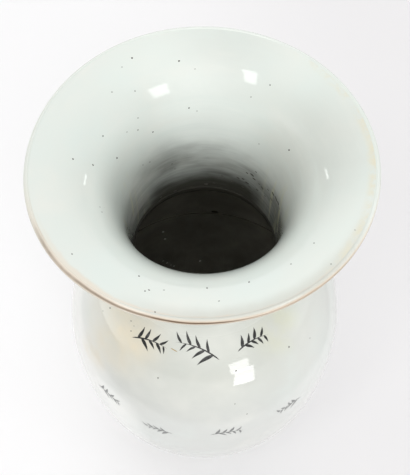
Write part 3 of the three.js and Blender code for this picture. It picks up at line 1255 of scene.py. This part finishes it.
class VASE_OT_joints(bpy.types.Operator):
    """Fill the three luted joints with slip, with its bead inside"""

    bl_idname = "vase.joints"
    bl_label = "Luted Joints"

    def execute(self, context):
        make = finishes()
        # Painted shade: the belly and neck beads take the darkened slip.
        soiled = make.shaded_bead_slip()
        clay = finish_named("Inside clay", make.inside_clay)
        finish_of = {"foot_lute": clay, "belly_lute": soiled, "neck_lute": soiled}
        for joint, (node, finish) in zip(section().joints(), finish_of.items()):
            piece = turned(node.replace("lute", "bead"), joint.slip, context.scene.vase_sizes.sides)
            piece.data.materials.append(finish)
            belongs(piece, "luting_slip", node)
        return {"FINISHED"}


class VASE_OT_lip(bpy.types.Operator):
    """Brush the iron wash on the lip"""

    bl_idname = "vase.lip"
    bl_label = "Lip Wash"

    def execute(self, context):
        piece = turned("lip_wash", section().lip_wash(), context.scene.vase_sizes.sides)
        sag_rim(piece)
        piece.data.materials.append(finish_named("Iron wash", finishes().iron_wash))
        belongs(piece, "iron_brown", "lip_dressing")
        return {"FINISHED"}


# Where the picture shows small marks, by pixel, with each one's length in tenths of a millimetre.
MOUTH_SPECKS = (
    (132, 58, 13), (179, 61, 15), (122, 67, 8), (195, 69, 8), (135, 91, 9), (112, 92, 8),
    (189, 108, 12), (197, 111, 8), (138, 118, 10), (138, 130, 12), (127, 132, 9), (153, 132, 11),
    (103, 136, 13), (117, 158, 14), (73, 159, 12), (93, 165, 15), (289, 150, 17), (259, 144, 9),
    (270, 85, 10), (251, 97, 9), (72, 254, 10), (102, 212, 9), (100, 207, 8), (139, 276, 12),
    (149, 290, 13), (145, 291, 10), (164, 290, 8), (207, 288, 13), (249, 282, 12), (219, 301, 11),
    (314, 243, 10), (291, 264, 9), (331, 264, 8), (355, 230, 8), (377, 179, 8), (155, 312, 10),
    (150, 162, 12), (143, 165, 9), (172, 164, 14), (175, 169, 10),
)
SHOULDER_SPECKS = (
    (110, 308, 13), (103, 311, 9), (131, 321, 10), (134, 326, 7), (131, 331, 10), (158, 378, 14),
    (236, 371, 15), (289, 347, 18), (310, 338, 9), (235, 404, 11), (247, 414, 16),
)
NECK_DASHES = (
    (238, 178, 34), (247, 183, 44), (252, 175, 40), (254, 179, 34), (257, 190, 30), (273, 194, 44),
    (276, 199, 50), (278, 203, 40), (206, 184, 36), (175, 191, 28), (222, 176, 20), (243, 187, 26),
    (268, 190, 24), (161, 197, 24), (243, 179, 26), (249, 187, 30), (259, 184, 24), (262, 188, 36),
    (265, 196, 22), (271, 199, 34), (279, 208, 36), (281, 213, 26), (232, 181, 22), (214, 183, 20),
    (256, 172, 18), (247, 173, 22), (251, 192, 26), (191, 187, 22),
)
GRIT = ((163, 232, 34), (165, 239, 32), (200, 261, 32))
# Pale chips on the throat's near edge, painted bright where glints show.
CHIPS_AND_GLINTS = ((163, 261, 22), (167, 263, 26), (171, 265, 18), (174, 266, 26))
RUST_FLECK = ((174, 350, 56),)
DARK_STAIN = ((215, 212, 80),)
TENTH = 0.0001
SPECK_FLATNESS = 0.12
SPECK_SEGMENTS = 10
SPECK_RINGS = 6
LONG_SPREAD = 0.35

# A mark's width, as a range of shares of its length.
ROUND = (0.6, 1.0)
LONG = (0.45, 0.70)
THIN = (0.12, 0.16)


def scatter(name, marks, pieces, finish, width):
    """Small flat domes on what is seen at each mark's pixel, joined into one piece. Long ones lie round the
    vase, and round ones at any turn."""
    deselect_all()
    bpy.ops.mesh.primitive_uv_sphere_add(segments=SPECK_SEGMENTS, ring_count=SPECK_RINGS, radius=1)
    model = bpy.context.object
    bpy.ops.object.mode_set(mode="EDIT")
    bpy.ops.transform.resize(value=(1, 1, SPECK_FLATNESS))
    bpy.ops.object.mode_set(mode="OBJECT")
    draw = random.Random(len(marks))
    spread = math.pi if width == ROUND else LONG_SPREAD
    copies = []
    for x, y, tenths in marks:
        place, normal = seen_at((x, y), pieces)
        radius = tenths * TENTH / 2
        turn = Matrix.Rotation(draw.uniform(-spread, spread), 4, "Z")
        along = Vector((0, 0, 1)).cross(normal).normalized()
        lie = Matrix((along, normal.cross(along), normal)).transposed().to_4x4()
        across = radius * draw.uniform(*width)
        size = Matrix.Diagonal((radius, across, min(radius, across), 1))
        copies.append(copy_placed(model, Matrix.Translation(place) @ lie @ turn @ size))
    bpy.data.objects.remove(model)
    piece = join_all(copies, name)
    piece.data.materials.append(finish)
    bpy.ops.object.shade_smooth()
    belongs(piece, "porcelain")


class VASE_OT_specks(bpy.types.Operator):
    """Scatter the specks, the soil in the neck, the grit, the chips with their painted glints and the rust
    fleck
    """

    bl_idname = "vase.specks"
    bl_label = "Specks and Grit"

    def execute(self, context):
        make = finishes()
        walls = [bpy.data.objects[n] for n in ("trumpet_mouth", "shoulder_wall", "lower_wall", "glazed_foot")]
        speck = make.small_mark("Iron speck", make.colours.speck, gloss=0.35)
        grit = make.small_mark("Grit", make.colours.grit, gloss=0.8)
        rust = make.small_mark("Rust", make.colours.rust, gloss=0.4)
        scatter("mouth_specks", MOUTH_SPECKS, walls, speck, ROUND)
        scatter("neck_dashes", NECK_DASHES, walls, speck, LONG)
        scatter("shoulder_specks", SHOULDER_SPECKS, walls, speck, ROUND)
        scatter("inner_grit", GRIT, walls, grit, ROUND)
        scatter("inner_stain", DARK_STAIN, walls, speck, LONG)
        scatter("throat_chips_and_glints", CHIPS_AND_GLINTS, walls, grit, LONG)
        scatter("rust_fleck", RUST_FLECK, walls, rust, THIN)
        return {"FINISHED"}


# Each sprig: azimuth from the front and lean from upright in degrees, height and stem length in metres.
# The shoulder's are brushed with full ink, and the belly's with thin ink.
SHOULDER_SPRIGS = (
    (-31, 58, 0.3305, 0.030),
    (-3, -50, 0.3335, 0.036),
    (27, 66, 0.3320, 0.027),
)
BELLY_SPRIGS = (
    (-43, 66, 0.252, 0.027),
    (-19, -74, 0.240, 0.025),
    (9, 70, 0.247, 0.028),
    (37, -62, 0.249, 0.026),
)
SPRIG_SEED = 11
STEM_BEND = 0.7
STEM_WIDTH = 0.0011
STEM_FULLNESS = 0.5
LEAF_PAIRS = 4
LEAF_BEND = 0.5
LEAF_WIDTH = 0.0026
LEAF_FULLNESS = 0.62

# A leaf's length as a share of the stem's, and where the leaves spring, as shares of the way up the stem.
LEAF_SHARE = 0.36
FIRST_LEAF = 0.22
LEAF_STEP = 0.2
LEAF_STAGGER = 0.05

# How far a leaf turns away from the stem, and how its size varies and falls off up the stem.
LEAF_SPREAD = (0.55, 0.95)
LEAF_SIZE = (0.75, 1.1)
SIZE_AT_FOOT = 1.1
SIZE_FALL = 0.4

# A stroke's rows, how near a vertex is to its own row as a share of their spacing, the tip's width as a
# share of the stroke's, and how high a laid row waits for the others.
STROKE_ROWS = 12
ROW_REACH = 0.4
STROKE_POINT = 0.02
LAID_LIFT = 1.0

INK_GLOSS = 0.28
INK_LIFT = 0.00003
INK_THICKNESS = 0.00004


def curl_point(reach, bend, t):
    """A point of an arc that leaves the origin along +Y and turns towards +X, and how far it has turned."""
    turn = bend * t
    radius = reach / bend
    return Vector((radius * (1 - math.cos(turn)), radius * math.sin(turn), 0)), turn


def brush_stroke(name, reach, width, bend, fullness):
    """One flat stroke of the brush along an arc from the origin, pointed at its tip. Each row of its grid is
    lifted when it is laid, so that it isn't taken for a later one."""
    deselect_all()
    bpy.ops.mesh.primitive_grid_add(x_subdivisions=2, y_subdivisions=STROKE_ROWS, size=1)
    stroke = bpy.context.object
    stroke.name = name
    bpy.ops.object.mode_set(mode="EDIT")
    bpy.ops.mesh.select_mode(type="VERT")
    for row in range(STROKE_ROWS + 1):
        t = row / STROKE_ROWS
        start = Vector((0, t - 0.5, 0))
        bpy.ops.mesh.select_all(action="DESELECT")
        mesh = bmesh.from_edit_mesh(stroke.data)
        for vertex in mesh.verts:
            vertex.select = abs(vertex.co.z) < WELD and abs(vertex.co.y - start.y) < ROW_REACH / STROKE_ROWS
        mesh.select_flush(True)
        bmesh.update_edit_mesh(stroke.data)
        half = max(STROKE_POINT, math.sin(math.pi * t**fullness)) * width
        place, turn = curl_point(reach, bend, t)
        laid = place + Vector((0, 0, LAID_LIFT))
        bpy.ops.transform.resize(value=(half, 1, 1), center_override=start)
        bpy.ops.transform.translate(value=laid - start)
        bpy.ops.transform.rotate(value=turn, orient_axis="Z", center_override=laid)
    bpy.ops.mesh.select_all(action="SELECT")
    bpy.ops.transform.translate(value=(0, 0, -LAID_LIFT))
    bpy.ops.object.mode_set(mode="OBJECT")
    return stroke


def sprig_strokes(sprig, outline, draw):
    """The strokes of one sprig, a stem and its leaves, laid on the shoulder."""
    azimuth, lean, height, reach = sprig
    bend = math.copysign(STEM_BEND, lean)
    middle = curl_point(reach, bend, 0.5)[0]
    shoulder = outline.shoulder_place(math.radians(azimuth), height)
    layout = shoulder @ Matrix.Rotation(-math.radians(lean), 4, "Z") @ Matrix.Translation(-middle)
    stem = brush_stroke("stem", reach, STEM_WIDTH, bend, STEM_FULLNESS)
    strokes = [copy_placed(stem, layout)]
    bpy.data.objects.remove(stem)
    for side in (-1, 1):
        leaf = brush_stroke("leaf", reach * LEAF_SHARE, LEAF_WIDTH, LEAF_BEND * side, LEAF_FULLNESS)
        for pair in range(LEAF_PAIRS):
            t = FIRST_LEAF + LEAF_STEP * pair + LEAF_STAGGER * side
            base, turn = curl_point(reach, bend, t)
            spread = side * draw.uniform(*LEAF_SPREAD)
            size = draw.uniform(*LEAF_SIZE) * (SIZE_AT_FOOT - SIZE_FALL * t)
            lie = Matrix.Rotation(-turn - spread, 4, "Z") @ Matrix.Scale(size, 4)
            strokes.append(copy_placed(leaf, layout @ Matrix.Translation(base) @ lie))
        bpy.data.objects.remove(leaf)
    return strokes


class VASE_OT_sprigs(bpy.types.Operator):
    """Brush the ink sprigs on the shoulder and the belly"""

    bl_idname = "vase.sprigs"
    bl_label = "Ink Sprigs"

    def execute(self, context):
        make = finishes()
        self.brush("ink_sprigs", SHOULDER_SPRIGS, make.small_mark("Ink", make.colours.ink, INK_GLOSS))
        self.brush("pale_sprigs", BELLY_SPRIGS, make.small_mark("Thin ink", make.colours.thin_ink, INK_GLOSS))
        return {"FINISHED"}

    def brush(self, name, sprigs, ink):
        outline = section()
        draw = random.Random(SPRIG_SEED)
        strokes = [stroke for sprig in sprigs for stroke in sprig_strokes(sprig, outline, draw)]
        piece = join_all(strokes, name)
        apply_modifier(
            piece, "SHRINKWRAP", target=bpy.data.objects["shoulder_wall"], wrap_method="NEAREST_SURFACEPOINT",
            offset=INK_LIFT, wrap_mode="ABOVE_SURFACE",
        )
        apply_modifier(piece, "SOLIDIFY", thickness=INK_THICKNESS, offset=1.0)
        piece.data.materials.append(ink)
        belongs(piece, "iron_brown")


class VASE_PT_panel(bpy.types.Panel):
    """The vase's sizes, colours and pieces"""

    bl_idname = "VASE_PT_panel"
    bl_label = "Baluster Vase"
    bl_space_type = "VIEW_3D"
    bl_region_type = "UI"
    bl_category = "Vase"

    def draw(self, context):
        for operator in OPERATORS:
            self.layout.operator(operator.bl_idname)
        for group in (context.scene.vase_sizes, context.scene.vase_colours, context.scene.vase_studio):
            box = self.layout.box()
            for name in group.__annotations__:
                box.prop(group, name)


OPERATORS = (
    VASE_OT_stage,
    VASE_OT_foot,
    VASE_OT_body,
    VASE_OT_mouth,
    VASE_OT_joints,
    VASE_OT_lip,
    VASE_OT_specks,
    VASE_OT_sprigs,
)
GROUPS = {"vase_sizes": VaseSizes, "vase_colours": VaseColours, "vase_studio": VaseStudio}


def register():
    for made in (*GROUPS.values(), *OPERATORS, VASE_PT_panel):
        bpy.utils.register_class(made)
    for name, group in GROUPS.items():
        setattr(bpy.types.Scene, name, PointerProperty(type=group))


def unregister():
    for name in GROUPS:
        delattr(bpy.types.Scene, name)
    for made in reversed((*GROUPS.values(), *OPERATORS, VASE_PT_panel)):
        bpy.utils.unregister_class(made)


def main():
    register()
    bpy.ops.vase.stage()
    bpy.ops.vase.foot()
    bpy.ops.vase.body()
    bpy.ops.vase.mouth()
    bpy.ops.vase.joints()
    bpy.ops.vase.lip()
    bpy.ops.vase.specks()
    bpy.ops.vase.sprigs()


if __name__ == "__main__":
    main()
